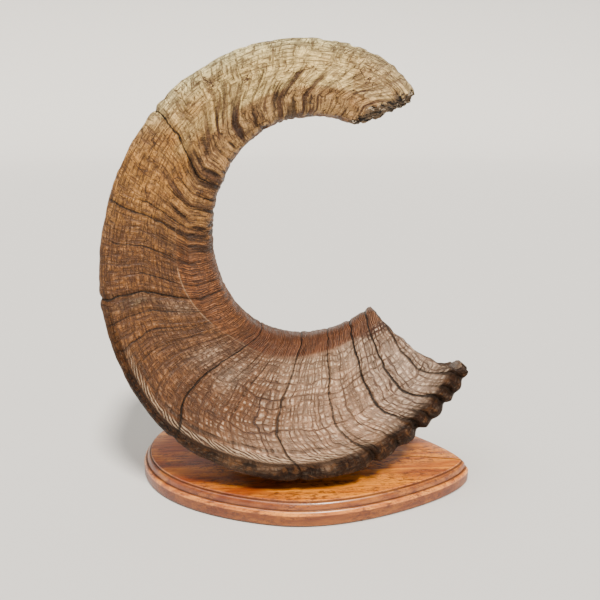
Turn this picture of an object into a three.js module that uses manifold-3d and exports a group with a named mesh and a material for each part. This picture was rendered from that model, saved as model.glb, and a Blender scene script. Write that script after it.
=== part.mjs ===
// A ram's horn of the kind a shofar is made from, standing on its outer curve on a routed oak board.
// Millimetres. X runs along the board, -Y is the front, +Z is up. The origin is the centre of the
// felt's underside, the face that rests on a table.
import * as THREE from 'three';
import { mergeVertices } from 'three/addons/utils/BufferGeometryUtils.js';
import Module from 'manifold-3d';

const { PI, sin, cos, abs, sign, sqrt, exp, max, min } = Math;
const GAP = 0.3;                       // clearance left between pieces that touch

// ---- driving sizes ---------------------------------------------------------------------------
// Felt and board. The outline is an egg: blunt at the left end, narrow at the right.
const FELT_T = 1.2, FELT_INSET = 3;
const BOARD_T = 19;                    // 3/4 inch oak stock
const BOARD = { a: 145, b: 82.5, lean: -6.8, skew: -0.09, blunt: 2.06, sharp: 1.51 };
const BOARD_Z0 = FELT_T + GAP, BOARD_Z1 = BOARD_Z0 + BOARD_T;

// Horn centreline: a log spiral about (cx, cz), drifting to the front as it grows.
const SPIRAL = { cx: 4.6, cz: 201.8, r0: 122.7, k: [0.1498, -0.0907, 0.01361],
  oval: [-0.067, 0.033], from: -34.7, sweep: -255.6 };
const DRIFT = [-7.2, -48.2, 3.7];      // y of the centreline against u, u = 0 base, u = 1 near the tip
const HALF = [42.1, 2.228, -5.657, 2.707];   // radial half thickness at the base, and its growth
const WIDE = [0.97, 0.085, 0.079];     // width across the coil relative to thickness
const TWIST = [0.234, -0.061, -0.370];  // turn of the section about the centreline, radians
// Section: broad frontal face outside with a keel at either edge, flanks that lean together, and a
// narrower inner face. n is outwards from the coil, b is to the front; cosine and sine terms.
const BASE_SEC = { n: [0.052, 1.116, -0.058, -0.075, 0, -0.028, -0.005],
  b: [0.749, 0.166, 0.111, 0, 0.008, -0.005] };
const TIP_SEC = { n: [0.155, 1.083, -0.183, -0.049, -0.029, -0.019, 0.043],
  b: [0.895, 0.116, 0.077, 0.024, -0.026, -0.005] };
const RIM = [0.026, -0.0135, -0.009, -0.008];  // where the sheath ends: mean, cos, cos 2, sin
const TIP_FROM = 0.975, TIP_END = 1.062;       // the rounded end of the horn
// The worn, broken face under the tip: a point on it and the way it faces.
const BROOM = { at: [55.5, -30.6, 306.3], faces: [0.4, -0.16, -0.9] };
// Growth grooves right across the horn, where they cross the middle of its flank.
const YEARS = [0.046, 0.083, 0.124, 0.186, 0.2645, 0.3925, 0.5445, 0.612, 0.664, 0.7545];
const YEAR_DEEP = 1.4, YEAR_WIDE = 0.0075;

// Hollow for the bone core, closed well before the tip.
const WALL = 7, CORE_END = 0.58;
// The horn is ground flat where it stands, and held by two screws into a block inside it.
const SEAT_Z = BOARD_Z1 + GAP;
const SCREW_AT = [[-19, -14], [21, -12]];
const SCREW = { r: 2.4, headR: 4.6, headH: 2.8, top: 44 };
const HOLE_R = SCREW.r + GAP, CBORE_R = 6.5, CBORE_TOP = BOARD_Z0 + 7.5;
const BLOCK = { x: [-36, 36], y: [-60, 30], z: [24, 47] };

// ---- horn surface ----------------------------------------------------------------------------
const mix = (p, q, t) => p + (q - p) * t;
function centre(u) {
  const th = (SPIRAL.from + SPIRAL.sweep * u) * PI / 180, w = -SPIRAL.sweep * u * PI / 180;
  const r = SPIRAL.r0 * exp(-w * (SPIRAL.k[0] + w * (SPIRAL.k[1] + w * SPIRAL.k[2])))
    * (1 + SPIRAL.oval[0] * cos(2 * th) + SPIRAL.oval[1] * sin(2 * th));
  return new THREE.Vector3(SPIRAL.cx + r * cos(th), DRIFT[0] + u * (DRIFT[1] + u * DRIFT[2]),
    SPIRAL.cz + r * sin(th));
}
function frameAt(u) {
  const c = centre(u), t = centre(u + 1e-4).sub(centre(u - 1e-4)).normalize();
  const b0 = new THREE.Vector3(0, -1, 0).addScaledVector(t, t.y).normalize();   // to the front
  const n0 = b0.clone().cross(t).normalize();      // away from the middle of the coil
  const tw = TWIST[0] + u * (TWIST[1] + u * TWIST[2]);
  const n = n0.clone().multiplyScalar(cos(tw)).addScaledVector(b0, sin(tw));
  const b = n0.clone().multiplyScalar(-sin(tw)).addScaledVector(b0, cos(tw));
  return { c, t, n, b };
}
const halfAt = (u) => HALF[0] * exp(u * (HALF[1] + u * (HALF[2] + u * HALF[3])));
const wideAt = (u) => WIDE[0] + u * (WIDE[1] + u * WIDE[2]);
function section(u, phi) {
  const s = min(max(u, 0), 1);
  const wave = (A, B, f) => A.reduce((v, a, i) => v + mix(a, B[i], s) * f(i), 0);
  return [wave(BASE_SEC.n, TIP_SEC.n, (i) => cos(i * phi)),
    wave(BASE_SEC.b, TIP_SEC.b, (i) => sin((i + 1) * phi))];
}
const rimAt = (phi) => RIM[0] + RIM[1] * cos(phi) + RIM[2] * cos(2 * phi) + RIM[3] * sin(phi);
const yearDip = (u) => YEARS.reduce((v, y) => v + exp(-(((u - y) / YEAR_WIDE) ** 2)), 0);

// A point on the section at (u, phi), `inward` mm under the skin, then shrunk to `size`.
function skin(u, phi, size = 1, inward = 0) {
  const f = frameAt(u), h = halfAt(u), w = h * wideAt(u), [n, b] = section(u, phi);
  return f.c.addScaledVector(f.n, (h - inward) * size * n)
    .addScaledVector(f.b, (w - inward) * size * b);
}
const outside = (u, phi, size) => skin(u, phi, size, size === 1 ? YEAR_DEEP * yearDip(u) : 0);
// The core's hollow narrows from the rim to a round end; `tight` shrinks it for the block.
function hollow(s, phi, tight = 0) {
  const u = mix(rimAt(phi), CORE_END, s);
  return skin(u, phi, sqrt(1 - s ** 2.4), WALL + tight);
}

// ---- helpers ---------------------------------------------------------------------------------
// Closed skin through rows of points, each row one loop, with a single point at either end.
function rowsToGeometry(rows, first, last) {
  const pos = [], idx = [], n = rows[0].length, m = rows.length;
  rows.flat().forEach((p) => pos.push(p.x, p.y, p.z));
  for (let i = 0; i + 1 < m; i++) {
    for (let j = 0; j < n; j++) {
      const a = i * n + j, b = i * n + (j + 1) % n;
      idx.push(a, b, b + n, a, b + n, a + n);
    }
  }
  const cap = (p, row, flip) => {
    const k = pos.length / 3;
    pos.push(p.x, p.y, p.z);
    for (let j = 0; j < n; j++) {
      const a = row * n + j, b = row * n + (j + 1) % n;
      idx.push(...(flip ? [k, b, a] : [k, a, b]));
    }
  };
  cap(first, 0, true);
  cap(last, m - 1, false);
  const g = new THREE.BufferGeometry();
  g.setAttribute('position', new THREE.Float32BufferAttribute(pos, 3));
  g.setIndex(idx);
  return outward(g);
}
function volume(g) {
  const p = g.attributes.position, ix = g.index, v = [0, 1, 2].map(() => new THREE.Vector3());
  let sum = 0;
  for (let i = 0; i < ix.count; i += 3) {
    v.forEach((q, k) => q.fromBufferAttribute(p, ix.getX(i + k)));
    sum += v[0].dot(v[1].clone().cross(v[2])) / 6;
  }
  return sum;
}
function outward(g) {
  if (volume(g) < 0) {
    const a = g.index.array;
    for (let i = 0; i < a.length; i += 3) [a[i + 1], a[i + 2]] = [a[i + 2], a[i + 1]];
  }
  return g;
}
const wasm = await Module();
wasm.setup();
function toSolid(geometry) {
  const g = geometry.index ? geometry.clone() : geometry;
  g.deleteAttribute('normal');
  g.deleteAttribute('uv');
  const merged = outward(mergeVertices(g, 1e-4));
  return new wasm.Manifold(new wasm.Mesh({ numProp: 3,
    vertProperties: new Float32Array(merged.attributes.position.array),
    triVerts: new Uint32Array(merged.index.array) }));
}
function toGeometry(solid) {
  const m = solid.getMesh(), g = new THREE.BufferGeometry();
  g.setAttribute('position', new THREE.BufferAttribute(new Float32Array(m.vertProperties), 3));
  g.setIndex(new THREE.BufferAttribute(new Uint32Array(m.triVerts), 1));
  return g;
}
// A turned piece about a vertical axis; the profile runs from the axis back to the axis.
function turned(profile, [x, y], around = 28) {
  const g = new THREE.LatheGeometry(profile.map(([r, z]) => new THREE.Vector2(r, z)), around);
  return g.rotateX(PI / 2).translate(x, y, 0);
}
const rod = (r, z0, z1, at) => turned([[0, z0], [r, z0], [r, z1], [0, z1]], at);

const group = new THREE.Group();
function add(name, geometry, color, roughness, metalness = 0) {
  geometry.computeVertexNormals();
  const mesh = new THREE.Mesh(geometry, new THREE.MeshStandardMaterial({ color, roughness, metalness }));
  mesh.name = name;
  group.add(mesh);
}

// ---- board and felt --------------------------------------------------------------------------
function eggPoint(t) {
  const w = 0.5 - 0.5 * cos(t), e = mix(BOARD.sharp, BOARD.blunt, w * w * (3 - 2 * w));
  const c = cos(t), s = sin(t), lean = BOARD.lean * PI / 180;
  const x = BOARD.a * sign(c) * abs(c) ** (2 / e);
  const y = BOARD.b * sign(s) * abs(s) ** (2 / e) * (1 + BOARD.skew * c);
  return new THREE.Vector2(x * cos(lean) - y * sin(lean), x * sin(lean) + y * cos(lean));
}
function eggLoop(inset, z, around) {
  return Array.from({ length: around }, (_, i) => {
    const t = (i + 0.5) * 2 * PI / around, d = 2e-3;
    const p = eggPoint(t), q = eggPoint(t + d).sub(eggPoint(t - d)).normalize();
    return new THREE.Vector3(p.x - q.y * inset, p.y + q.x * inset, z);
  });
}
// Router profile from the bottom: square band, bead, fillet, cove, fillet, flat top.
const edge = [[0.6, 0], [0, 0.6], [0, 8.6]];
for (let i = 1; i <= 5; i++) edge.push([2.5 * (1 - cos(i * PI / 10)), 8.6 + 3.6 * sin(i * PI / 10)]);
edge.push([3.1, 12.2]);
for (let i = 1; i <= 5; i++) edge.push([6.1 - 3.0 * cos(i * PI / 10), 17.6 - 5.2 * (1 - sin(i * PI / 10))]);
edge.push([6.7, 17.6], [6.9, 18.8], [7.2, BOARD_T]);
const boardRows = edge.map(([d, z]) => eggLoop(d, BOARD_Z0 + z, 84));
let board = toSolid(rowsToGeometry(boardRows, new THREE.Vector3(0, 0, BOARD_Z0),
  new THREE.Vector3(0, 0, BOARD_Z1)));
for (const at of SCREW_AT) {
  board = board.subtract(toSolid(rod(HOLE_R, BOARD_Z0 - 5, BOARD_Z1 + 5, at)));
  board = board.subtract(toSolid(rod(CBORE_R, BOARD_Z0 - 5, CBORE_TOP, at)));
}
add('display_base', toGeometry(board), 0xa8642c, 0.4);

const feltRows = [0, FELT_T].map((z) => eggLoop(FELT_INSET, z, 72));
add('felt_sheet', rowsToGeometry(feltRows, new THREE.Vector3(0, 0, 0),
  new THREE.Vector3(0, 0, FELT_T)), 0x2f3a2b, 0.95);

// ---- horn ------------------------------------------------------------------------------------
const AROUND = 40, ALONG = 92, CAP = 8, DEEP = 34;
const loop = (f) => Array.from({ length: AROUND }, (_, j) => f(j * 2 * PI / AROUND));
const outer = [];
for (let i = 0; i <= ALONG; i++) {
  outer.push(loop((phi) => outside(mix(rimAt(phi), TIP_FROM, i / ALONG), phi, 1)));
}
for (let i = 1; i < CAP; i++) {
  const a = i * PI / 2 / CAP;
  outer.push(loop((phi) => outside(mix(TIP_FROM, TIP_END, sin(a)), phi, cos(a))));
}
const inner = [];
for (let i = 0; i < DEEP; i++) inner.push(loop((phi) => hollow(sin(i * PI / 2 / DEEP), phi)));
let horn = toSolid(rowsToGeometry([...inner.reverse(), ...outer], frameAt(CORE_END).c,
  outside(TIP_END, 0, 0)));
const ground = new THREE.BoxGeometry(300, 300, 60).translate(0, 0, SEAT_Z - 30);
const facing = new THREE.Quaternion().setFromUnitVectors(new THREE.Vector3(0, 0, 1),
  new THREE.Vector3(...BROOM.faces).normalize());
const worn = new THREE.BoxGeometry(90, 90, 60).translate(0, 0, 30).applyQuaternion(facing)
  .translate(...BROOM.at);
horn = horn.subtract(toSolid(ground)).subtract(toSolid(worn));

// Block: as much of the hollow as lies in a box over the seat.
const plug = [];
for (let i = 0; i < 26; i++) plug.push(loop((phi) => hollow(i / 27, phi, 2 * GAP)));
const box = new THREE.BoxGeometry(BLOCK.x[1] - BLOCK.x[0], BLOCK.y[1] - BLOCK.y[0],
  BLOCK.z[1] - BLOCK.z[0]).translate((BLOCK.x[0] + BLOCK.x[1]) / 2, (BLOCK.y[0] + BLOCK.y[1]) / 2,
  (BLOCK.z[0] + BLOCK.z[1]) / 2);
let block = toSolid(rowsToGeometry(plug, frameAt(0.02).c, frameAt(CORE_END - 0.02).c))
  .intersect(toSolid(box));
for (const at of SCREW_AT) {
  horn = horn.subtract(toSolid(rod(HOLE_R, SEAT_Z - 5, SEAT_Z + 22, at)));
  block = block.subtract(toSolid(rod(HOLE_R, BLOCK.z[0] - 5, SCREW.top + 0.5, at)));
}
add('horn_sheath', toGeometry(horn), 0x8d7558, 0.75);
add('mounting_block', toGeometry(block), 0xc9a06a, 0.8);

// ---- screws and washers ----------------------------------------------------------------------
const WASHER_T = 1.0, washerTop = CBORE_TOP - GAP, headTop = washerTop - WASHER_T - GAP;
['left', 'right'].forEach((side, i) => {
  const at = SCREW_AT[i], h0 = headTop - SCREW.headH, dome = [[0, h0]];
  for (let k = 1; k <= 5; k++) {
    dome.push([SCREW.headR * sin(k * PI / 10), h0 + 1.9 * (1 - cos(k * PI / 10))]);
  }
  dome.push([SCREW.headR, headTop], [SCREW.r, headTop], [SCREW.r, SCREW.top - 5], [0, SCREW.top]);
  add(`screw_${side}`, toGeometry(toSolid(turned(dome, at))), 0xb8b4a6, 0.35, 1);
  const z = washerTop - WASHER_T;
  add(`washer_${side}`, toGeometry(toSolid(turned([[HOLE_R, z], [CBORE_R - 0.5, z],
    [CBORE_R - 0.5, washerTop], [HOLE_R, washerTop], [HOLE_R, z]], at))), 0xa9abad, 0.4, 1);
});

export default group;
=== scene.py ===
"""A ram's horn standing on its oak display board: the visual model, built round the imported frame."""

import math

import bmesh
import bpy
import numpy as np
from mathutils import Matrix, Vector


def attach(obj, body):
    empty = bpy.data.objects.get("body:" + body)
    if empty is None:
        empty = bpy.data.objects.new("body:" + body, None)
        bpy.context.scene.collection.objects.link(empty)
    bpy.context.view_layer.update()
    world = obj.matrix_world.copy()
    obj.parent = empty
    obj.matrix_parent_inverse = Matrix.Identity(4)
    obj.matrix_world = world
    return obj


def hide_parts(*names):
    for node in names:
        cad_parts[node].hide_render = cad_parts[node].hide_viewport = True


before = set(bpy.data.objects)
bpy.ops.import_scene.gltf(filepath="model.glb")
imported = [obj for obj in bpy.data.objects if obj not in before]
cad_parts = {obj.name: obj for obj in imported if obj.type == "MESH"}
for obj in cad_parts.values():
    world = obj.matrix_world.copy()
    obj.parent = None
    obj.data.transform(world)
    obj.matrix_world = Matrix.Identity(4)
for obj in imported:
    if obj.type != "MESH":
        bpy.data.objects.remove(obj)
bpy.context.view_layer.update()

MM = 0.001
TAU = 2 * math.pi
BOARD_LOW, BOARD_HIGH, SEAT = 1.5, 20.5, 20.8                   # heights, mm


# ---- camera, light and floor -------------------------------------------------------------------
def make_camera():
    data = bpy.data.cameras.new("camera")
    data.lens, data.sensor_width, data.sensor_fit = 36.0, 36.0, "HORIZONTAL"
    data.clip_start, data.clip_end = 0.01, 50
    camera = bpy.data.objects.new("camera", data)
    camera.location = (0.0002, -0.475, 0.3074)
    camera.rotation_euler = (math.radians(90 - 17.2), 0, math.radians(0.4))
    bpy.context.scene.collection.objects.link(camera)
    bpy.context.scene.camera = camera


def sun_light(name, towards, power, spread, colour):
    data = bpy.data.lights.new(name, "SUN")
    data.energy, data.angle, data.color = power, math.radians(spread), colour
    light = bpy.data.objects.new(name, data)
    light.rotation_euler = Vector(towards).to_track_quat("-Z", "Y").to_euler()
    bpy.context.scene.collection.objects.link(light)


def make_stage():
    """A pale paper floor that curves up far away, under broad soft light."""
    world = bpy.data.worlds.new("studio")
    world.use_nodes = True
    sky = world.node_tree.nodes["Background"]
    sky.inputs["Color"].default_value = (1.0, 0.955, 0.90, 1)
    sky.inputs["Strength"].default_value = 0.36
    bpy.context.scene.world = world
    sun_light("key", (-0.26, 0.62, -1.0), 5.8, 9, (1.0, 0.94, 0.85))
    sun_light("fill", (0.40, 0.30, -1.0), 1.5, 40, (1.0, 0.96, 0.90))
    around, flat, bend = 96, 4.0, 2.0
    rows = [(flat, 0.0)] + [(flat + bend * math.sin(a), bend * (1 - math.cos(a)))
                            for a in np.linspace(0.1, math.pi / 2, 12)]
    verts = [(0.0, 0.0, 0.0)] + [(r * math.cos(t), r * math.sin(t), z) for r, z in rows
                                 for t in ring_of(around)]
    faces = [(0, 1 + j, 1 + (j + 1) % around) for j in range(around)]
    faces += [face[::-1] for face in grid_faces(len(rows), around, 1)]
    floor = mesh_object("floor", np.array(verts) / MM, faces)
    paper = bpy.data.materials.new("floor_paper")
    paper.use_nodes = True
    shader = paper.node_tree.nodes["Principled BSDF"]
    shader.inputs["Base Color"].default_value = (0.70, 0.69, 0.67, 1)
    shader.inputs["Roughness"].default_value = 0.85
    floor.data.materials.append(paper)


# ---- numbers -----------------------------------------------------------------------------------
RNG = np.random.default_rng(613)
LATTICE = RNG.random((64, 64, 64))


def noise(p, size, seed=0.0):
    """Smooth noise from -1 to 1 at points p (..., 3), with features of about `size`."""
    q = p / size + 11.7 * seed
    i = np.floor(q).astype(int)
    f = q - i
    f = f * f * (3 - 2 * f)
    total = np.zeros(p.shape[:-1])
    for corner in range(8):
        bit = [(corner >> k) & 1 for k in range(3)]
        w = np.ones(p.shape[:-1])
        for k in range(3):
            w = w * (f[..., k] if bit[k] else 1 - f[..., k])
        total += w * LATTICE[tuple((i[..., k] + bit[k]) % 64 for k in range(3))]
    return 2 * total - 1


def smooth(a, b, x):
    t = np.clip((x - a) / (b - a), 0, 1)
    return t * t * (3 - 2 * t)


def mix(a, b, t):
    return a + (b - a) * t


def bell(x, at, width):
    return np.exp(-((x - at) / width) ** 2)


# ---- horn: the CAD's own formulas, in millimetres ------------------------------------------------
SPIRAL_AT, SPIRAL_R = (4.6, 201.8), 122.7
SPIRAL_K, OVAL = (0.1498, -0.0907, 0.01361), (-0.067, 0.033)
TURN_FROM, TURN = math.radians(-34.7), math.radians(-255.6)
DRIFT = (-7.2, -48.2, 3.7)
HALF = (42.1, 2.228, -5.657, 2.707)
WIDE = (0.97, 0.085, 0.079)
TWIST = (0.234, -0.061, -0.370)
BASE_N = (0.052, 1.116, -0.058, -0.075, 0, -0.028, -0.005)
BASE_B = (0.749, 0.166, 0.111, 0, 0.008, -0.005)
TIP_N = (0.155, 1.083, -0.183, -0.049, -0.029, -0.019, 0.043)
TIP_B = (0.895, 0.116, 0.077, 0.024, -0.026, -0.005)
TIP_FROM, TIP_END = 0.975, 1.062
BROOM_AT, BROOM_FACES = np.array([55.5, -30.6, 306.3]), np.array([0.4, -0.16, -0.9])
WALL, CORE_END = 7.0, 0.58


def centre(u):
    th, w = TURN_FROM + TURN * u, -TURN * u
    r = SPIRAL_R * np.exp(-w * (SPIRAL_K[0] + w * (SPIRAL_K[1] + w * SPIRAL_K[2])))
    r = r * (1 + OVAL[0] * np.cos(2 * th) + OVAL[1] * np.sin(2 * th))
    y = DRIFT[0] + u * (DRIFT[1] + u * DRIFT[2])
    return np.stack([SPIRAL_AT[0] + r * np.cos(th), y, SPIRAL_AT[1] + r * np.sin(th)], -1)


def unit(a):
    return a / np.linalg.norm(a, axis=-1, keepdims=True)


def axes(u):
    t = unit(centre(u + 1e-4) - centre(u - 1e-4))
    b0 = unit(np.array([0, -1.0, 0]) + t * t[..., 1:2])
    n0 = unit(np.cross(b0, t))
    tw = (TWIST[0] + u * (TWIST[1] + u * TWIST[2]))[..., None]
    return n0 * np.cos(tw) + b0 * np.sin(tw), b0 * np.cos(tw) - n0 * np.sin(tw)


def skin(u, phi, size=1.0, inward=0.0):
    """The horn's smooth outer skin at (u, phi), moved `inward` mm and then shrunk to `size`."""
    n_axis, b_axis = axes(u)
    h = HALF[0] * np.exp(u * (HALF[1] + u * (HALF[2] + u * HALF[3])))
    s = np.clip(u, 0, 1)
    n = sum(mix(p, q, s) * np.cos(i * phi) for i, (p, q) in enumerate(zip(BASE_N, TIP_N)))
    b = sum(mix(p, q, s) * np.sin((i + 1) * phi) for i, (p, q) in enumerate(zip(BASE_B, TIP_B)))
    n = n * (h - inward) * size
    b = b * (h * (WIDE[0] + u * (WIDE[1] + u * WIDE[2])) - inward) * size
    return centre(u) + n_axis * n[..., None] + b_axis * b[..., None]


def rim_at(phi):
    return 0.026 - 0.0135 * np.cos(phi) - 0.009 * np.cos(2 * phi) - 0.008 * np.sin(phi)


LENGTH, GIRTH = 505.0, 46.0       # mm along the horn per unit of u, and a mean radius of its section


def growth(u, psi):
    """Lines of equal growth: they kink at the inner ridge and sweep towards the base at the keel."""
    sweep = 0.011 + 0.0195 * np.cos(math.pi * (np.clip(u, 0.2, 0.75) - 0.2) / 0.55)
    start = 104 - 15 * smooth(0.38, 0.50, u)
    ramp = np.clip((psi - start) / 42, 0, 1)
    return (u + 0.031 * mix(ramp, ramp * ramp, 0.3) + 0.005 * smooth(135, 175, psi)
            + sweep * smooth(86, 52, psi))


def flow_at(v, phi):
    """A seamless place on the skin: how far along the growth, and where on the section."""
    return np.stack([v * LENGTH, GIRTH * np.cos(phi), GIRTH * np.sin(phi)], -1)


# Growth grooves: growth, depth mm, half width mm, darkness, and the degrees from the middle of the
# outer face between which each one runs.
YEARS = ((0.046, 1.7, 1.9, 0.85, 0, 180), (0.083, 2.9, 2.2, 1.00, 0, 180),
         (0.124, 2.9, 2.4, 1.00, 0, 180), (0.186, 1.7, 1.7, 0.85, 0, 180),
         (0.2645, 1.7, 1.8, 0.85, 0, 180), (0.325, 0.6, 1.0, 0.50, 84, 135),
         (0.3925, 2.1, 1.6, 1.00, 0, 180), (0.437, 0.6, 1.0, 0.55, 96, 140),
         (0.465, 0.5, 0.9, 0.50, 62, 118), (0.489, 0.7, 1.1, 0.70, 50, 126),
         (0.5175, 0.7, 1.1, 0.70, 50, 180), (0.5445, 1.9, 1.5, 1.00, 0, 180),
         (0.572, 0.9, 1.2, 0.80, 84, 180), (0.592, 0.4, 0.9, 0.50, 124, 180),
         (0.609, 0.8, 1.2, 0.70, 60, 134), (0.632, 0.6, 1.0, 0.60, 104, 180),
         (0.651, 1.1, 1.4, 0.80, 45, 180), (0.668, 1.1, 1.3, 0.75, 80, 180),
         (0.686, 0.7, 1.1, 0.60, 112, 180), (0.705, 1.1, 1.2, 0.80, 104, 180),
         (0.728, 0.7, 1.1, 0.60, 112, 180), (0.7545, 1.6, 1.3, 1.00, 0, 180))
# Short cracks in the upper coil, in the same form. The mesh and its tone draw them, not the material.
CRACKS = ((0.803, 0.5, 0.9, 0.60, 100, 140), (0.814, 0.6, 0.9, 0.60, 98, 128),
          (0.826, 0.6, 0.9, 0.65, 70, 112), (0.848, 0.5, 0.9, 0.55, 92, 122),
          (0.859, 0.5, 0.9, 0.60, 112, 180), (0.871, 0.6, 0.9, 0.70, 84, 114),
          (0.881, 0.5, 0.9, 0.60, 114, 180), (0.902, 0.5, 0.9, 0.60, 120, 180),
          (0.913, 0.7, 1.0, 0.75, 98, 126), (0.934, 0.5, 0.9, 0.55, 124, 180))
KNOT, KNOT_GIRTH = (0.785, 74), 0.75            # growth and degrees round; mm per degree there
KEEL_GAPS = (0.020, 0.067, 0.106, 0.155)        # more grooves, on the keels only


def relief(u, phi, p):
    """How far the real surface stands out from the smooth skin, mm, and the marks that colour it."""
    deg = np.degrees(np.mod(phi, TAU))
    psi = np.minimum(deg, 360 - deg)
    flow0 = flow_at(u, phi)
    wobble = 0.0035 * noise(flow0, 34, 1) + 0.0012 * noise(flow0, 9, 2)
    v = growth(u, psi) + wobble * smooth(0.0, 0.12, u + 0.03)
    flow = flow_at(v, phi)
    ridge_at = 133 - 13 * smooth(0.38, 0.58, u)
    inner = smooth(-4, 4, psi - ridge_at)
    keel_at = 60 - 5 * bell(u, 0.39, 0.06)
    front = smooth(3, -3, psi - keel_at) * smooth(0.62, 0.44, u)
    flank = (1 - inner) * (1 - front)
    low, high = smooth(0.46, 0.24, u), smooth(0.56, 0.72, u)
    near_mouth = smooth(0.235, 0.15, u)

    out = 2.4 * bell(psi, 42, 24) * smooth(0.08, 0.2, u) * smooth(0.47, 0.36, u)
    cracked = 0.0
    for at, deep, wide, dark, first, last in YEARS + CRACKS:
        gap = (v - at) * LENGTH
        here = smooth(first - 4, first + 4, psi) * smooth(last + 4, last - 4, psi)
        if at > YEARS[-1][0]:
            cracked = np.maximum(cracked, dark * here * bell(gap, 0, wide))
        deep = deep * here
        cut = bell(gap, 0, wide) * (0.8 + 0.2 * noise(flow, 16, at * 40))
        shoulder = bell(gap, 2.8 * wide, 2.2 * wide) + bell(gap, -2.8 * wide, 2.2 * wide)
        out -= deep * (1.0 - 0.4 * inner * (1 - high)) * (cut - 0.20 * shoulder)
    # The older horn above the upper crack overhangs it.
    out += 0.9 * smooth(0.7525, 0.7575, v) * smooth(0.82, 0.76, v)
    # Rolls along the keels near the base, parted by deep gaps.
    parted = list(KEEL_GAPS) + [y[0] for y in YEARS if y[0] < 0.2]
    gap = np.min([np.abs(v - g) * LENGTH for g in parted], axis=0)
    at_keel = bell(psi, 47, 17) * near_mouth
    out += at_keel * (2.7 * smooth(0, 6, gap) - 0.9 + 0.7 * noise(flow, 12, 5) + 0.6 * noise(flow, 5, 6))
    out -= 2.0 * bell(gap, 0, 1.5) * bell(psi, 46, 15) * near_mouth

    # Growth rings: coarse near the base, close-set on the inner face.
    along = flow * np.array([1, 0.10, 0.10])
    rings = 0.6 * noise(along, 3.0, 7) + 0.4 * noise(along, 6.5, 8)
    out += rings * (0.14 + 0.95 * near_mouth * flank + 0.55 * low * flank + 0.26 * flank
                    + 0.60 * inner + 0.45 * front)
    # Dark bands pressed into the inner face of the upper coil.
    bands = smooth(0.14, 0.42, noise(flow * [1, 0.13, 0.13], 2.3, 9)) * smooth(-30, 4, psi - ridge_at)
    bands *= smooth(0.52, 0.64, u) * smooth(0.95, 0.88, u)
    out -= 0.9 * bands
    # Long fibres, a raised line along the inner ridge, and the swollen edge of the keel.
    out += 0.16 * noise(flow * [0.07, 1, 1], 2.6, 10) * flank * (1 - 0.5 * high)
    out += (0.8 - 0.4 * high) * bell(psi, ridge_at, 3.0) * smooth(0.02, 0.10, u)
    rope_here = smooth(0.10, 0.27, u) * smooth(0.50, 0.43, u)
    out += bell(psi, keel_at + 3.0, 4.4) * rope_here * (1.1 + 0.5 * noise(flow0, 8, 41))
    # Weathered upper coil: pits, flakes and low swells.
    pits = smooth(0.2, 0.8, noise(p, 5.0, 12)) + 0.6 * smooth(0.2, 0.8, noise(p, 2.6, 13))
    out += 0.35 * noise(p, 14, 14) * (0.5 + high) - 0.55 * pits * high
    knot = np.hypot((v - KNOT[0]) * LENGTH, (deg - KNOT[1]) * KNOT_GIRTH)
    out -= 0.9 * bell(knot, 0, 1.3)
    # Swollen inner side and crumbling lip at the mouth.
    out += 1.6 * smooth(108, 135, psi) * bell(u, 0.035, 0.03)
    lip = np.exp(-np.maximum(u - rim_at(phi), 0) * LENGTH / 3.2)
    out += lip * (-1.0 + 0.9 * noise(p, 3.1, 15) + 0.5 * noise(p, 7, 16))
    # The oblique broken face under the tip, and the flaking round it.
    beyond = (p - BROOM_AT) @ unit(BROOM_FACES) + 3.4 * noise(p, 7, 17) + 2.2 * noise(p, 3, 18)
    burnt = smooth(-7.0, -1.2, beyond) * smooth(0.84, 0.93, u)
    flakes = smooth(0.0, 0.5, noise(p, 3.6, 19)) * smooth(0.88, 0.98, u)
    out -= 1.0 * flakes + burnt * (1.0 + 1.3 * noise(p, 2.8, 20))

    worn_dark = np.maximum(cracked, 0.6 * bell(knot, 1.6, 1.1))
    return out, dict(
        v=v, burnt=burnt, high=high, bands=bands, low=low, front=front,
        inner=smooth(mix(-4, -46, high), 4, psi - ridge_at),
        weave=flank * (1 - high) * (0.45 + 0.55 * low), knuckle=np.clip(1.3 * at_keel, 0, 1),
        keel_off=(psi - keel_at) / 90, ridge_off=(psi - ridge_at) / 90, rope=rope_here,
        tone=paint(u, v, psi, ridge_at, front, flow0) * (1 - worn_dark)[..., None])


def linear(*rgb):
    return np.array([(c / 255 + 0.055) ** 2.4 / 1.055 ** 2.4 if c > 10 else c / 3295 for c in rgb])


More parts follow.
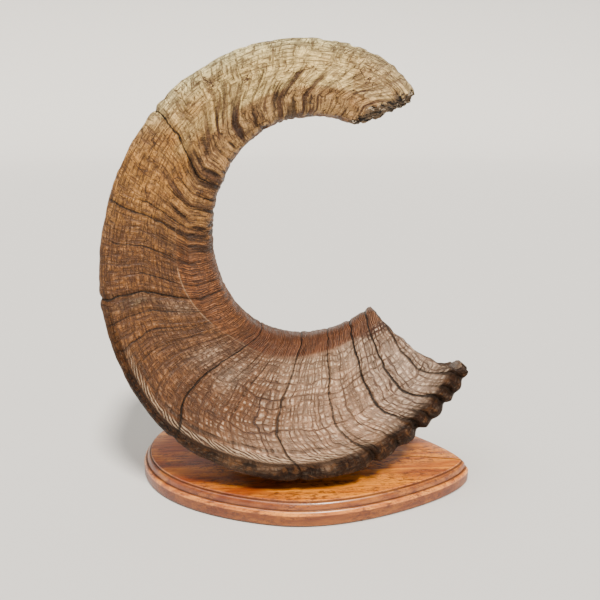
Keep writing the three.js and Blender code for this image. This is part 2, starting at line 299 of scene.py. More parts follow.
def paint(u, v, psi, ridge_at, front, flow):
    """The horn's broad colours, before rings, fibres, cracks and grooves are laid over them."""
    def lay(base, colour, amount):
        return base + (linear(*colour) - base) * np.clip(amount, 0, 1)[..., None]
    blotch, spot = noise(flow, 26, 30), noise(flow, 11, 31)
    c = np.ones(u.shape + (3,)) * linear(178, 140, 110)
    c = lay(c, (184, 150, 120), smooth(92, 122, psi) * 0.75 + 0.3 * blotch)
    c = lay(c, (112, 71, 38), smooth(0.20, 0.33, u - 0.05 * smooth(90, 65, psi) + 0.03 * blotch))
    c = lay(c, (122, 76, 30), smooth(0.38, 0.50, u + 0.03 * spot))
    c = lay(c, (160, 112, 52), smooth(0.56, 0.70, u + 0.04 * blotch))
    # Painted sheen: pale patches on the outer flank, along three bands of growth.
    painted_sheen = bell(v, 0.526, 0.013) + bell(v, 0.420, 0.020) + bell(v, 0.362, 0.024)
    c = lay(c, (206, 178, 150), painted_sheen * bell(psi, 112, 13) * (0.38 + 0.3 * spot))
    c = lay(c, (84, 76, 58), bell(v, 0.534, 0.008) * bell(psi, 80, 14) * 0.7)
    c = lay(c, (178, 124, 56), smooth(0.62, 0.72, u + 0.03 * spot))
    c = lay(c, (255, 220, 142), smooth(0.72, 0.86, u + 0.03 * spot))
    # Paler still on the outer face of the upper coil, its top: partly the weathered cream tone, partly
    # painted light falling from above.
    c = lay(c, (255, 240, 180), smooth(0.70, 0.82, u) * smooth(84, 44, psi))
    c = lay(c, (184, 158, 136), smooth(0.16, 0.08, u) * 0.7)
    c = lay(c, (120, 98, 80), smooth(0.05, 0.0, u) * 0.8)
    c = lay(c, (186, 150, 108), smooth(0.93, 1.0, u) * 0.6)
    c = lay(c, (118, 82, 56), smooth(100, 122, psi) * smooth(0.14, 0.05, u) * 0.65)
    inner = smooth(-3, 3, psi - ridge_at + 10 * smooth(0.11, 0.03, u))
    c = lay(c, (86, 40, 13), inner * smooth(0.46, 0.38, u) * mix(1, 0.7, smooth(0.10, 0.02, u)))
    c = lay(c, (134, 78, 36), inner * smooth(0.38, 0.46, u) * smooth(0.66, 0.56, u))
    c = lay(c, (196, 148, 92), inner * smooth(0.62, 0.76, u) * 0.8)
    c = lay(c, (116, 74, 44), smooth(150, 178, psi) * smooth(0.5, 0.7, u))
    # The strip below the keel goes near black: partly its own dark brown, partly painted shade on a face
    # turned down and away from the light.
    c = lay(c, (32, 17, 7), front * (0.95 + 0.3 * spot))
    c = lay(c, (44, 25, 12), 1.5 * bell(psi, 45, 16) * smooth(0.22, 0.13, u))
    return c


def ring_of(count):
    return np.arange(count) * TAU / count


def horn_rows():
    """All rows of the closed skin: hollow from its end out to the rim, then outside to the tip."""
    around, along, cap, deep = 184, 432, 22, 46
    phi = ring_of(around)[None, :]
    lip_noise = 0.0035 * noise(flow_at(np.zeros_like(phi), phi), 9, 21) \
        + 0.002 * noise(flow_at(np.zeros_like(phi), phi), 3.5, 22)
    rim = rim_at(phi) + lip_noise
    # outside
    s = (np.arange(along + 1) / along)[:, None]
    u = mix(rim, TIP_FROM, s)
    a = (np.arange(1, cap) * math.pi / 2 / cap)[:, None]
    u = np.concatenate([u, np.broadcast_to(mix(TIP_FROM, TIP_END, np.sin(a)), (cap - 1, around))])
    size = np.concatenate([np.ones((along + 1, around)), np.broadcast_to(np.cos(a), (cap - 1, around))])
    phi_all = np.broadcast_to(phi, u.shape)
    smooth_skin = skin(u, phi_all, size)
    out, marks = relief(u, phi_all, smooth_skin)
    outer = flatten(smooth_skin + grid_normals(smooth_skin) * out[..., None], u)
    # inside
    k = np.sin(np.arange(deep) * math.pi / 2 / deep)[:, None]
    ui = mix(rim, CORE_END, k)
    phi_in = np.broadcast_to(phi, ui.shape)
    shrink = np.broadcast_to(np.sqrt(1 - k ** 2.4), ui.shape)
    inner = skin(ui, phi_in, shrink, WALL)
    lip = np.exp(-k * (CORE_END * LENGTH) / 3.2)
    rough = 0.5 * noise(inner, 6, 23) + 0.3 * noise(flow_at(ui, phi_in) * [0.08, 1, 1], 3, 24)
    raised = (rough * (1 - 0.5 * lip) - 0.9 * lip)[..., None]
    inner = inner - grid_normals(inner) * raised * shrink[..., None]
    return outer, inner, marks, ui, phi_in


def grid_normals(p):
    """Outward normals of a closed-loop grid of points."""
    du = np.gradient(p, axis=0)
    dphi = np.roll(p, -1, 1) - np.roll(p, 1, 1)
    n = np.cross(du, dphi)
    n /= np.maximum(np.linalg.norm(n, axis=-1, keepdims=True), 1e-12)
    if ((p - p.mean(1, keepdims=True)) * n).sum() < 0:
        n = -n
    return n


def flatten(p, u):
    """Grind the seat flat, and break the tip off along the oblique face."""
    face = unit(BROOM_FACES)
    beyond = np.where(u > 0.8, (p - BROOM_AT) @ face, -99)
    rough = 1.3 * noise(p, 4.2, 25) + 0.8 * noise(p, 2.0, 26) + 1.2 * noise(p, 10, 27)
    over = np.maximum(beyond - rough, 0)
    p = p - face * over[..., None]
    low = p[..., 2] < SEAT
    p[low, 2] = SEAT
    return p


def grid_faces(rows, around, first=0):
    """The four-sided faces between rows of points that each close on themselves."""
    def at(i, j):
        return first + i * around + j % around
    return [(at(i, j), at(i, j + 1), at(i + 1, j + 1), at(i + 1, j))
            for i in range(rows - 1) for j in range(around)]


def mesh_object(name, verts, faces, smooth_faces=True):
    mesh = bpy.data.meshes.new(name)
    mesh.from_pydata([tuple(v) for v in np.asarray(verts) * MM], [], faces)
    mesh.update()
    if smooth_faces:
        mesh.polygons.foreach_set("use_smooth", [True] * len(mesh.polygons))
    obj = bpy.data.objects.new(name, mesh)
    bpy.context.scene.collection.objects.link(obj)
    return obj


def face_outwards(obj):
    bm = bmesh.new()
    bm.from_mesh(obj.data)
    bmesh.ops.recalc_face_normals(bm, faces=bm.faces)
    bm.to_mesh(obj.data)
    bm.free()


def give(mesh, name, kind, values):
    field = "color" if kind == "FLOAT_COLOR" else "vector"
    mesh.attributes.new(name, kind, "POINT").data.foreach_set(
        field, np.ascontiguousarray(values, dtype=np.float32).ravel())


def make_horn():
    outer, inner, marks, ui, phi_in = horn_rows()
    rows = np.concatenate([inner[::-1], outer])
    m, n = rows.shape[:2]
    first, last = centre(np.array([CORE_END]))[0], flatten(centre(np.array([TIP_END])), 1.0)[0]
    verts = np.concatenate([rows.reshape(-1, 3), [first, last]])
    faces = grid_faces(m, n)
    faces += [(m * n, (j + 1) % n, j) for j in range(n)]
    faces += [(m * n + 1, (m - 1) * n + j, (m - 1) * n + (j + 1) % n) for j in range(n)]
    horn = mesh_object("horn", verts, faces)
    face_outwards(horn)

    def full(outside, inside, ends):
        shape = outside.shape[2:]
        return np.concatenate([inside[::-1].reshape((-1,) + shape), outside.reshape((-1,) + shape),
                               np.asarray(ends, dtype=float).reshape((2,) + shape)])
    phi_out = np.broadcast_to(ring_of(n)[None, :], outer.shape[:2])
    flow = full(flow_at(marks["v"], phi_out), flow_at(ui, phi_in), [[290, 0, 0], [530, 0, 0]]) * MM
    give(horn.data, "flow", "FLOAT_VECTOR", flow)
    dark = np.ones(ui.shape + (3,)) * linear(70, 46, 30)
    tone = full(marks["tone"], dark, [linear(60, 40, 25), linear(180, 150, 120)])
    give(horn.data, "tone", "FLOAT_COLOR", np.concatenate([tone, np.ones((len(tone), 1))], 1))
    layers = {"marks": (["burnt", "knuckle", "rope"], [0, 0, 0]),
              "zones": (["weave", "high", "low"], [0.3, 0, 0]),
              "faces": (["inner", "bands", "front"], [0, 0, 0]),
              "places": (["keel_off", "ridge_off", "inside"], [0, 0, 1])}
    marks["inside"] = np.zeros(outer.shape[:2])
    for name, (keys, inside) in layers.items():
        outside = np.stack([marks[key] for key in keys], -1)
        field = full(outside, np.ones(ui.shape + (3,)) * inside, [inside, [0, 0, 0]])
        give(horn.data, name, "FLOAT_VECTOR", field)
    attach(horn, "root")
    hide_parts("horn_sheath")
    horn.data.materials.append(horn_material())


# ---- materials ---------------------------------------------------------------------------------
class Nodes:
    """Shorthand for wiring a node material."""

    def __init__(self, name):
        self.material = bpy.data.materials.new(name)
        self.material.use_nodes = True
        self.tree = self.material.node_tree
        self.shader = self.tree.nodes["Principled BSDF"]

    def put(self, socket, value):
        if isinstance(value, bpy.types.NodeSocket):
            self.tree.links.new(value, socket)
        else:
            socket.default_value = value

    def add(self, kind, out=0, ins=None, **settings):
        node = self.tree.nodes.new(kind)
        for key, value in settings.items():
            setattr(node, key, value)
        for key, value in (ins or {}).items():
            self.put(node.inputs[key], value)
        return node.outputs[out]

    def attribute(self, name, out="Vector"):
        return self.add("ShaderNodeAttribute", out, attribute_name=name)

    def split(self, vector):
        node = self.tree.nodes.new("ShaderNodeSeparateXYZ")
        self.tree.links.new(vector, node.inputs[0])
        return node.outputs

    def stretch(self, vector, scale, turn=(0, 0, 0)):
        return self.add("ShaderNodeMapping", ins={"Vector": vector, "Scale": scale, "Rotation": turn})

    def noise(self, vector, scale=1.0, detail=3.0, rough=0.55, twist=0.0):
        return self.add("ShaderNodeTexNoise", "Fac", {"Vector": vector, "Scale": scale, "Detail": detail,
                                                      "Roughness": rough, "Distortion": twist})

    def step(self, value, low, high, to=(0.0, 1.0)):
        """A smooth step from to[0] to to[1], which it never leaves, so its clamp would change nothing.

        The clamp stays off: with it on, the horn's shader is too big for Cycles to bake.
        """
        return self.add("ShaderNodeMapRange", ins={"Value": value, "From Min": low, "From Max": high,
                                                   "To Min": to[0], "To Max": to[1]},
                        interpolation_type="SMOOTHSTEP", clamp=False)

    def math(self, what, a, b=0.0):
        return self.add("ShaderNodeMath", ins={0: a, 1: b}, operation=what)

    def blend(self, amount, a, b, how="MIX"):
        node = self.tree.nodes.new("ShaderNodeMix")
        node.data_type, node.blend_type = "RGBA", how
        for socket, value in ((node.inputs[0], amount), (node.inputs[6], a), (node.inputs[7], b)):
            self.put(socket, value)
        return node.outputs[2]

    def near(self, value, at, width):
        """1 where value is at `at`, falling to 0 at `width` away."""
        off = self.math("ABSOLUTE", self.math("SUBTRACT", value, at))
        return self.step(off, width, width * 0.3)

    def lines(self, phase, width, seed):
        """Thin lines where the phase is a whole number, each of its own strength, and the gaps."""
        whole = self.math("FLOOR", self.math("ADD", phase, 0.5))
        off = self.math("ABSOLUTE", self.math("SUBTRACT", phase, whole))
        chance = self.add("ShaderNodeTexWhiteNoise", "Value", {"W": self.math("ADD", whole, seed)},
                          noise_dimensions="1D")
        line = self.math("MULTIPLY", self.step(off, width, width * 0.25),
                         self.step(chance, 0, 1, (0.45, 1.0)))
        return line, self.step(off, 0.16, 0.34)

    def grooves(self, x, angle, knuckle):
        """Crisp dark lines in the growth grooves, wider between the keel's knuckles."""
        psi = self.math("MULTIPLY", self.math("ABSOLUTE", angle), 360 / TAU)
        widen = self.step(knuckle, 0.15, 0.8, (1.0, 2.2))
        total = 0.0
        rows = [(at, wide, dark, first, last, 1.0) for at, _, wide, dark, first, last in YEARS]
        rows += [(at, 1.5, 1.0, 0, 180, knuckle) for at in KEEL_GAPS]
        for at, wide, dark, first, last, amount in rows:
            off = self.math("DIVIDE", self.math("SUBTRACT", x, at * LENGTH * MM), widen)
            if first > 0:
                amount = self.math("MULTIPLY", self.step(psi, first - 6, first + 6), amount)
            if last < 180:
                amount = self.math("MULTIPLY", self.step(psi, last + 4, last - 4), amount)
            near = self.step(self.math("ABSOLUTE", off), wide * 0.60 * MM, wide * 0.12 * MM, (0.0, dark))
            total = self.math("MAXIMUM", total, self.math("MULTIPLY", near, amount))
        return total

    def bump(self, height, distance, strength=1.0):
        return self.add("ShaderNodeBump",
                        ins={"Height": height, "Distance": distance, "Strength": strength})

    def finish(self, **sockets):
        for key, value in sockets.items():
            self.put(self.shader.inputs[key.replace("_", " ")], value)
        return self.material


def rgba(*rgb):
    return tuple(linear(*rgb)) + (1.0,)


# Spacing of the marks that the horn's material draws: metres along it, and a number round it.
RING_PITCH, FINE_PITCH, STRAND_PITCH, FIBRES_ROUND = 0.0037, 0.0020, 0.0050, 80


def horn_material():
    m = Nodes("ram_horn")
    flow, tone = m.attribute("flow"), m.attribute("tone", "Color")
    burnt, knuckle, rope = m.split(m.attribute("marks"))
    weave, high, low = m.split(m.attribute("zones"))
    inner, bands, front = m.split(m.attribute("faces"))
    keel_off, ridge_off, inside = m.split(m.attribute("places"))
    place = m.add("ShaderNodeTexCoord", "Object")
    outside = m.step(inside, 1.0, 0.0)
    x, y, z = m.split(flow)
    angle = m.math("ARCTAN2", z, y)

    # Growth rings crossed by long fibres, like a coarse cloth: dark lines round small pale cells.
    shake = m.noise(flow, 150, 2)
    wave = m.math("ADD", m.step(m.noise(flow, 26, 2), 0.2, 0.8, (-1.3, 1.3)),
                  m.step(shake, 0.2, 0.8, (-0.35, 0.35)))
    ring_phase = m.math("ADD", m.math("MULTIPLY", x, 1 / RING_PITCH), wave)
    drift = m.math("ADD", m.step(m.noise(m.stretch(flow, (22, 34, 34)), 1.0, 2), 0.2, 0.8, (-1.0, 1.0)),
                   m.step(m.noise(m.stretch(flow, (110, 240, 240)), 1.0, 2), 0.2, 0.8, (-0.3, 0.3)))
    fibre_phase = m.math("ADD", m.math("MULTIPLY", angle, FIBRES_ROUND / TAU), drift)
    broken = m.step(m.noise(m.stretch(flow, (60, 90, 90)), 1.0, 3), 0.30, 0.52, (0.45, 1.0))
    ring_line, ring_gap = m.lines(ring_phase, 0.24, 3)
    fibre_line, fibre_gap = m.lines(fibre_phase, 0.21, 7)
    fine_phase = m.math("ADD", m.math("MULTIPLY", x, 1 / FINE_PITCH), wave)
    fine_line, fine_gap = m.lines(fine_phase, 0.32, 11)
    cell_at = m.add("ShaderNodeCombineXYZ",
                    ins={0: m.math("FLOOR", ring_phase), 1: m.math("FLOOR", fibre_phase)})
    cell = m.add("ShaderNodeTexWhiteNoise", "Value", {"Vector": cell_at}, noise_dimensions="2D")
    rings = m.noise(m.stretch(flow, (640, 80, 80)), detail=2.0, rough=0.6)
    fibres = m.noise(m.stretch(flow, (110, 760, 760)), detail=2.0, rough=0.6)
    swells = m.noise(m.stretch(flow, (215, 15, 15)), detail=2.0)
    strakes = m.noise(m.stretch(flow, (20, 230, 230)), detail=2.0)
    specks = m.noise(m.stretch(flow, (280, 560, 560)), detail=2.0)
    dashes = m.noise(m.stretch(flow, (420, 105, 105)), detail=2.0)
    grit = m.noise(place, 620, 3)
    blotch = m.noise(place, 70, 4, twist=0.6)
    waver = m.add("ShaderNodeTexNoise", "Color", {"Vector": place, "Scale": 130.0, "Detail": 3.0})
    bent = m.add("ShaderNodeVectorMath", ins={0: flow, 1: m.stretch(waver, (0.014, 0.014, 0.014))},
                 operation="ADD")
    chip = m.add("ShaderNodeTexVoronoi", "Distance", {"Vector": m.stretch(bent, (150, 58, 58)),
                                                      "Scale": 1.0}, feature="DISTANCE_TO_EDGE")
    crack = m.math("MULTIPLY", m.step(chip, 0.05, 0.0), m.step(blotch, 0.48, 0.60))
    crack = m.math("MULTIPLY", crack, high)

    on_strip = m.math("MAXIMUM", front, knuckle)
    groove = m.grooves(m.math("ADD", x, m.step(shake, 0, 1, (-0.0011, 0.0011))), angle, knuckle)
    faint = m.step(m.noise(m.stretch(flow, (20, 60, 60))), 0.28, 0.45, (0.6, 1.0))
    faint = m.math("MULTIPLY", faint, outside)
    groove = m.math("MULTIPLY", groove, faint)

    # How strongly the cloth shows: full on the lower flank, rings only inside the coil.
    on_fibre = m.step(weave, 0.0, 1.0, (0.10, 0.95))
    on_ring = m.math("ADD", on_fibre, m.math("MULTIPLY", inner, m.step(high, 1, 0, (0, 0.2))))
    on_fine = m.math("MULTIPLY", inner, m.step(high, 1, 0, (0.25, 1.0)))
    dark = m.math("MAXIMUM", m.math("MULTIPLY", ring_line, on_ring),
                  m.math("MULTIPLY", fibre_line, on_fibre))
    dark = m.math("MULTIPLY", m.math("MAXIMUM", dark, m.math("MULTIPLY", fine_line, on_fine)), broken)
    soft_fibres = m.math("MULTIPLY", m.step(fibres, 0.50, 0.36), m.step(inner, 1, 0, (0.2, 1)))
    soft_dark = m.math("MAXIMUM", m.step(rings, 0.50, 0.36), soft_fibres)
    dark = m.math("MAXIMUM", dark, m.math("MULTIPLY", soft_dark, m.step(low, 0, 1, (0.72, 0.46))))
    pale = m.math("MULTIPLY", m.math("MULTIPLY", ring_gap, fibre_gap), m.step(cell, 0.0, 0.9, (0.25, 1.0)))
    pale = m.math("MULTIPLY", pale, m.step(weave, 0.40, 1.0, (0.12, 0.80)))
    # Painted highlight: an orange-tan shine on the fine ridges of the inner face.
    ridge_highlight = m.math("MULTIPLY", m.math("MULTIPLY", fine_gap, on_fine), 0.22)

    broad = m.math("ADD", m.step(swells, 0.42, 0.62, (-0.5, 0.5)),
                   m.step(strakes, 0.40, 0.62, (-0.5, 0.5)))
    colour = m.blend(1.0, tone, m.step(broad, -0.9, 0.9, (0.80, 1.20)), "MULTIPLY")
    cell_tone = m.math("MULTIPLY", m.step(cell, 0, 1, (-0.26, 0.26)), on_fibre)
    colour = m.blend(1.0, colour, m.math("ADD", cell_tone, 1.0), "MULTIPLY")
    paler = m.blend(m.step(fibres, 0.40, 0.60, (0.14, 0.48)), colour, rgba(246, 222, 194))
    colour = m.blend(pale, colour, paler)
    colour = m.blend(ridge_highlight, colour, m.blend(0.6, colour, rgba(232, 160, 98)))
    darker = m.blend(1.0, colour, rgba(84, 56, 38), "MULTIPLY")
    colour = m.blend(m.math("MULTIPLY", dark, 0.95), colour, darker)
    dash = m.math("MULTIPLY", m.step(dashes, 0.54, 0.64), m.step(low, 0.6, 0, (0.0, 0.55)))
    speck = m.math("MULTIPLY", m.step(specks, 0.53, 0.61), m.step(low, 0.8, 0, (0.15, 0.80)))
    gritty = m.math("MULTIPLY", m.step(grit, 0.55, 0.64), m.step(low, 1, 0, (0.15, 0.5)))
    speck = m.math("MAXIMUM", speck, gritty)
    marked = m.math("MULTIPLY", m.math("MAXIMUM", dash, speck), m.step(high, 0, 1, (1.0, 0.5)))
    colour = m.blend(marked, colour, rgba(80, 46, 20))
    mottle = m.math("MULTIPLY", m.step(blotch, 0.52, 0.64), m.step(high, 0, 1, (0.20, 0.40)))
    mottled = m.blend(1.0, colour, rgba(178, 144, 100), "MULTIPLY")
    colour = m.blend(mottle, colour, mottled)
    # Painted shade: dark patches on the inner face of the upper coil, which is its underside.
    underside_shade = m.math("MULTIPLY", m.math("MULTIPLY", high, inner), m.step(swells, 0.46, 0.38))
    colour = m.blend(m.math("MULTIPLY", underside_shade, 0.90), colour, rgba(80, 46, 20))
    colour = m.blend(m.math("MULTIPLY", bands, 0.92), colour, rgba(52, 29, 12))
    pits = m.math("MULTIPLY", m.step(m.noise(place, 210, 3, 0.6, 0.8), 0.56, 0.66), high)
    colour = m.blend(m.math("MULTIPLY", pits, 0.45), colour, rgba(112, 76, 42))
    colour = m.blend(crack, colour, rgba(74, 46, 22))
    rough_hide = m.noise(m.stretch(flow, (170, 130, 130)), 1.0, 4, 0.6, 0.8)
    for start, end, amount, tint in ((0.53, 0.65, 0.42, (104, 68, 38)), (0.46, 0.34, 0.85, (30, 20, 12))):
        patch = m.math("MULTIPLY", on_strip, m.step(rough_hide, start, end, (0, amount)))
        colour = m.blend(patch, colour, rgba(*tint))

    # The inner ridge's thin pale edge, and the keel's twisted, rope-like edge: its pale strands are partly
    # lighter horn and partly painted highlight, with painted shade between the strands and in a dark line
    # either side.
    edge = m.math("MULTIPLY", m.near(ridge_off, 0.0, 0.008), m.step(high, 0.8, 0.0, (0.0, 0.30)))
    edge = m.math("MULTIPLY", edge, m.step(m.noise(m.stretch(flow, (45, 8, 8))), 0.38, 0.58, (0.15, 1.0)))
    edge = m.math("MULTIPLY", edge, m.step(low, 0.5, 0.0, (0.25, 1.0)))
    colour = m.blend(m.math("MULTIPLY", edge, broken), colour, rgba(206, 172, 134))
    twist = m.math("SUBTRACT", m.math("MULTIPLY", x, 1 / STRAND_PITCH),
                   m.math("MULTIPLY", keel_off, 90 / 3.1))
    twist = m.math("ADD", twist, m.step(m.noise(flow, 90, 2), 0.2, 0.8, (-0.8, 0.8)))
    strand_gap, strand = m.lines(twist, 0.30, 19)
    on_rope = m.math("MULTIPLY", m.math("MULTIPLY", rope, m.near(keel_off, 0.032, 0.042)), broken)
    strand_highlight = m.math("MULTIPLY", strand, on_rope)
    colour = m.blend(m.math("MULTIPLY", strand_highlight, 0.55), colour, rgba(206, 178, 146))
    rope_shade = m.math("MAXIMUM", m.near(keel_off, 0.098, 0.020), m.near(keel_off, -0.022, 0.020))
    rope_shade = m.math("MULTIPLY", rope_shade, rope)
    rope_shade = m.math("MULTIPLY", m.math("MAXIMUM", rope_shade, m.math("MULTIPLY", strand_gap, on_rope)), broken)
    colour = m.blend(m.math("MULTIPLY", rope_shade, 0.75), colour, rgba(52, 34, 20))

    colour = m.blend(groove, colour, rgba(34, 22, 13))
    char = m.step(m.math("ADD", burnt, m.step(grit, 0.35, 0.65, (-0.30, 0.30))), 0.40, 0.66)
    charred = m.blend(m.step(rough_hide, 0.42, 0.58), rgba(30, 22, 16), rgba(128, 104, 78))
    colour = m.blend(char, colour, charred)
    fleck = m.step(m.noise(m.stretch(place, (260, 260, 420)), 1.0, 2), 0.60, 0.66)
    fleck = m.math("MULTIPLY", fleck, m.step(burnt, 0.15, 0.6))
    colour = m.blend(fleck, colour, rgba(222, 202, 176))

    height = m.math("SUBTRACT", m.math("MULTIPLY", pale, 0.35), m.math("MULTIPLY", dark, 0.75))
    fibre_height = m.math("MULTIPLY", fibres, m.step(weave, 0, 1, (0.2, 0.5)))
    height = m.math("ADD", height, m.math("ADD", m.math("MULTIPLY", rings, 0.55), fibre_height))
    height = m.math("SUBTRACT", height, m.math("MULTIPLY", m.math("MAXIMUM", groove, pits), 0.9))
    height = m.math("SUBTRACT", height, m.math("MULTIPLY", m.math("MAXIMUM", crack, marked), 0.5))
    height = m.math("ADD", height, m.math("MULTIPLY", grit, m.step(high, 0, 1, (0.25, 0.7))))
    height = m.math("ADD", height, m.math("MULTIPLY", m.step(swells, 0.3, 0.7), 0.8))
    rope_height = m.math("SUBTRACT", strand_highlight, rope_shade)
    height = m.math("ADD", height, m.math("MULTIPLY", rope_height, 0.8))
    normal = m.bump(height, 0.0014, 1.0)
    rough = m.math("MAXIMUM", m.step(m.math("ADD", rings, blotch), 0.7, 1.3, (0.44, 0.66)),
                   m.math("MULTIPLY", char, 0.92))
    return m.finish(Base_Color=colour, Roughness=rough, Normal=normal,
                    Specular_IOR_Level=m.step(on_strip, 0, 1, (0.42, 0.12)))


def wood_material(name, dark, light, pore, varnish, moulded=False):
    """Straight-grained wood along X: broad figure, growth streaks, short flecks and open pores."""
    m = Nodes(name)
    place = m.stretch(m.add("ShaderNodeTexCoord", "Object"), (1, 1, 1), (0, 0, math.radians(-3.5)))
    figure = m.noise(m.stretch(place, (9, 40, 30)), 1.0, 3, 0.5, 0.9)
    streak = m.noise(m.stretch(place, (14, 260, 200)), 1.0, 4, 0.6, 0.4)
    flecks = m.noise(m.stretch(place, (150, 430, 430)), 1.0, 2, 0.6)
    pores = m.noise(m.stretch(place, (260, 1250, 900)), 1.0, 2, 0.6)
    where = m.noise(m.stretch(place, (16, 90, 90)), 1.0, 2)
    colour = m.blend(m.step(figure, 0.34, 0.60), rgba(*dark), rgba(*light))
    coat = varnish
    if moulded:
        # Painted shade darkens the cove, a painted highlight lightens the bead, and the square edge below
        # is darker.
        z = m.split(m.add("ShaderNodeTexCoord", "Object"))[2]
        soft = 0.0004
        for low, high, amount, tint in ((0.0132, 0.0186, 0.65, (112, 54, 22)),
                                        (0.0102, 0.0136, 0.45, (244, 158, 74)),
                                        (-0.001, 0.0104, 0.80, (104, 48, 12))):
            band = m.math("MULTIPLY", m.step(z, low - soft, low + soft),
                          m.step(z, high + soft, high - soft))
            colour = m.blend(m.math("MULTIPLY", band, amount), colour, rgba(*tint))
        # Painted shade: thin dark lines in the fillets at the foot and the top of the cove.
        for at, wide in ((0.0139, 0.0005), (0.01915, 0.0006)):
            colour = m.blend(m.math("MULTIPLY", m.near(z, at, wide), 0.8), colour, rgba(58, 30, 14))
        coat = m.step(z, 0.0098, 0.0104, (0.15, varnish))
    colour = m.blend(m.step(streak, 0.34, 0.66, (0.75, 0.0)), colour,
                     m.blend(1.0, colour, rgba(168, 122, 90), "MULTIPLY"))
    hole = m.math("MULTIPLY", m.step(pores, 0.53, 0.62), m.step(where, 0.40, 0.60, (0.15, 0.7)))
    fleck = m.math("MULTIPLY", m.step(flecks, 0.53, 0.62), m.step(where, 0.42, 0.58, (0.25, 0.8)))
    colour = m.blend(m.math("MAXIMUM", hole, fleck), colour, rgba(*pore))
    height = m.math("SUBTRACT", m.math("MULTIPLY", streak, 0.35), m.math("MULTIPLY", hole, 0.8))
    normal = m.bump(height, 0.00022, 0.7)
    rough = m.step(m.math("ADD", streak, hole), 0.3, 1.3, (0.34, 0.58))
    m.shader.inputs["Coat Roughness"].default_value = 0.24
    return m.finish(Base_Color=colour, Roughness=rough, Normal=normal, Coat_Weight=coat)


def felt_material():
    m = Nodes("felt")
    place = m.add("ShaderNodeTexCoord", "Object")
    fuzz = m.noise(place, 900, 4, 0.7, 1.5)
    hairs = m.noise(m.stretch(place, (260, 1300, 700), (0, 0, 0.6)), 1.0, 3, 0.6, 1.2)
    cloud = m.noise(place, 60, 2)
    colour = m.blend(m.step(fuzz, 0.35, 0.65), rgba(30, 40, 30), rgba(62, 76, 58))
    colour = m.blend(m.step(hairs, 0.55, 0.72, (0, 0.5)), colour, rgba(96, 108, 88))
    colour = m.blend(m.step(cloud, 0.3, 0.7, (0, 0.25)), colour, rgba(24, 30, 24))
    m.shader.inputs["Sheen Weight"].default_value = 0.35
    m.shader.inputs["Roughness"].default_value = 0.95
    return m.finish(Base_Color=colour, Normal=m.bump(m.math("ADD", fuzz, hairs), 0.0006, 0.8))


def steel_material(name, tint, scratch_scale):
    m = Nodes(name)
    place = m.add("ShaderNodeTexCoord", "Object")
    turned = m.noise(m.stretch(place, scratch_scale), 1.0, 3)
    stain = m.noise(place, 260, 3)
    colour = m.blend(m.step(stain, 0.45, 0.7, (0, 0.45)), rgba(*tint), rgba(120, 108, 92))
    colour = m.blend(m.step(turned, 0.4, 0.7, (0, 0.3)), colour, rgba(226, 224, 218))
    m.shader.inputs["Metallic"].default_value = 1.0
    return m.finish(Base_Color=colour, Roughness=m.step(turned, 0.3, 0.7, (0.28, 0.5)),
                    Normal=m.bump(turned, 0.00008, 0.6))


# ---- board -------------------------------------------------------------------------------------
BOARD_A, BOARD_B, LEAN, SKEW, BLUNT, SHARP = 145.0, 82.5, math.radians(-6.8), -0.09, 2.06, 1.51
SCREWS = ((-19.0, -14.0), (21.0, -12.0))
HOLE_R, COUNTERBORE_R, COUNTERBORE_DEEP = 2.7, 6.5, 7.5


def egg(t):
    w = 0.5 - 0.5 * np.cos(t)
    e = mix(SHARP, BLUNT, w * w * (3 - 2 * w))
    c, s = np.cos(t), np.sin(t)
    x = BOARD_A * np.sign(c) * np.abs(c) ** (2 / e)
    y = BOARD_B * np.sign(s) * np.abs(s) ** (2 / e) * (1 + SKEW * c)
    return np.stack([x * math.cos(LEAN) - y * math.sin(LEAN), x * math.sin(LEAN) + y * math.cos(LEAN)], -1)


def egg_loop(inset, z, around):
    t = (np.arange(around) + 0.5) * TAU / around
    p, q = egg(t), egg(t + 2e-3) - egg(t - 2e-3)
    q /= np.linalg.norm(q, axis=-1, keepdims=True)
    return np.stack([p[:, 0] - q[:, 1] * inset, p[:, 1] + q[:, 0] * inset, np.full(around, z)], -1)


def board_profile():
    """The routed edge from the bottom up: inset from the outline, height above the underside."""
    rows = [(0.8, 0), (0.35, 0.12), (0.1, 0.4), (0, 0.9), (0, 8.4)]
    for k in range(1, 11):
        a = k * math.pi / 20
        rows.append((2.5 * (1 - math.cos(a)), 8.6 + 3.6 * math.sin(a)))
    rows += [(2.62, 12.18), (3.0, 12.2), (3.12, 12.4)]
    for k in range(1, 11):
        a = k * math.pi / 20
        rows.append((6.1 - 3.0 * math.cos(a), 17.6 - 5.2 * (1 - math.sin(a))))
    return rows + [(6.6, 17.62), (6.72, 17.8), (6.78, 18.5), (6.95, 18.88), (7.3, 19.0)]


def cylinder_cutter(at, radius, z0, z1, count=48):
    ring = [(at[0] + radius * math.cos(a), at[1] + radius * math.sin(a)) for a in ring_of(count)]
    verts = [(x, y, z) for z in (z0, z1) for x, y in ring]
    faces = [(i, (i + 1) % count, count + (i + 1) % count, count + i) for i in range(count)]
    faces += [tuple(range(count))[::-1], tuple(range(count, 2 * count))]
    return mesh_object("cutter", verts, faces, False)


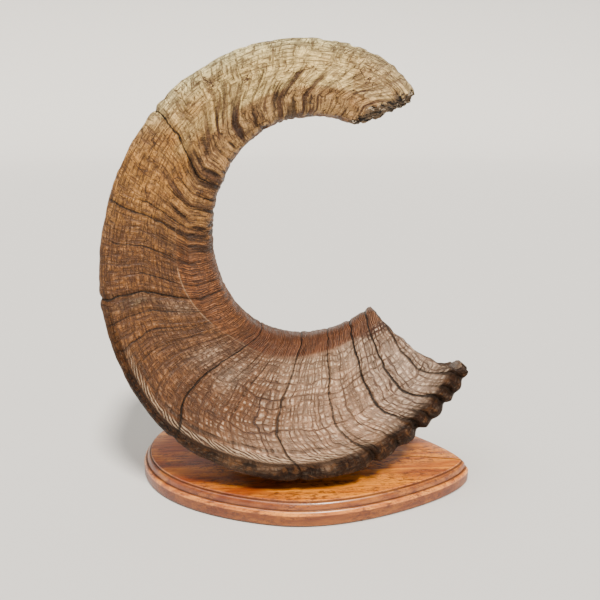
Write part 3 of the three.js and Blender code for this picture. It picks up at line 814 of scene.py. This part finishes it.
def cut(obj, cutter):
    bpy.context.view_layer.objects.active = obj
    mod = obj.modifiers.new("cut", "BOOLEAN")
    mod.operation, mod.solver, mod.object = "DIFFERENCE", "EXACT", cutter
    bpy.ops.object.modifier_apply(modifier=mod.name)
    bpy.data.objects.remove(cutter, do_unlink=True)


def make_board():
    around = 260
    profile = [egg_loop(inset, BOARD_LOW + z, around) for inset, z in board_profile()]
    shrink = np.array([1, 1, 0])
    rows = [profile[0] * (shrink * k + 1 - shrink) for k in (0.12, 0.35, 0.6, 0.82)] + profile \
        + [profile[-1] * (shrink * k + 1 - shrink) for k in (0.82, 0.6, 0.35, 0.12)]
    verts = np.concatenate(rows)
    faces = grid_faces(len(rows), around)
    top = (len(rows) - 1) * around
    faces += [tuple(range(around))[::-1], tuple(range(top, top + around))]
    board = mesh_object("board", verts, faces)
    for at in SCREWS:
        cut(board, cylinder_cutter(at, HOLE_R, BOARD_LOW - 5, BOARD_HIGH + 5))
        cut(board, cylinder_cutter(at, COUNTERBORE_R, BOARD_LOW - 5, BOARD_LOW + COUNTERBORE_DEEP))
    face_outwards(board)
    board.data.polygons.foreach_set("use_smooth", [True] * len(board.data.polygons))
    board.data.set_sharp_from_angle(angle=math.radians(32))
    board.data.materials.append(wood_material("stained_oak", (168, 80, 16), (240, 146, 32),
                                              (88, 40, 12), 0.6, moulded=True))
    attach(board, "root")
    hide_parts("display_base")


def dress_cad_nodes():
    finishes = {
        "mounting_block": wood_material("block_pine", (176, 132, 84), (214, 174, 122), (120, 80, 44), 0.0),
        "felt_sheet": felt_material(),
    }
    for side in ("left", "right"):
        for part, tint, scratch_scale in (("screw", (176, 170, 156), (300, 300, 2600)),
                                          ("washer", (170, 170, 168), (900, 900, 300))):
            finishes[f"{part}_{side}"] = steel_material(f"{part}_steel_{side}", tint, scratch_scale)
    for name, material in finishes.items():
        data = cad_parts[name].data
        data.materials.clear()
        data.materials.append(material)


make_camera()
make_stage()
make_horn()
make_board()
dress_cad_nodes()
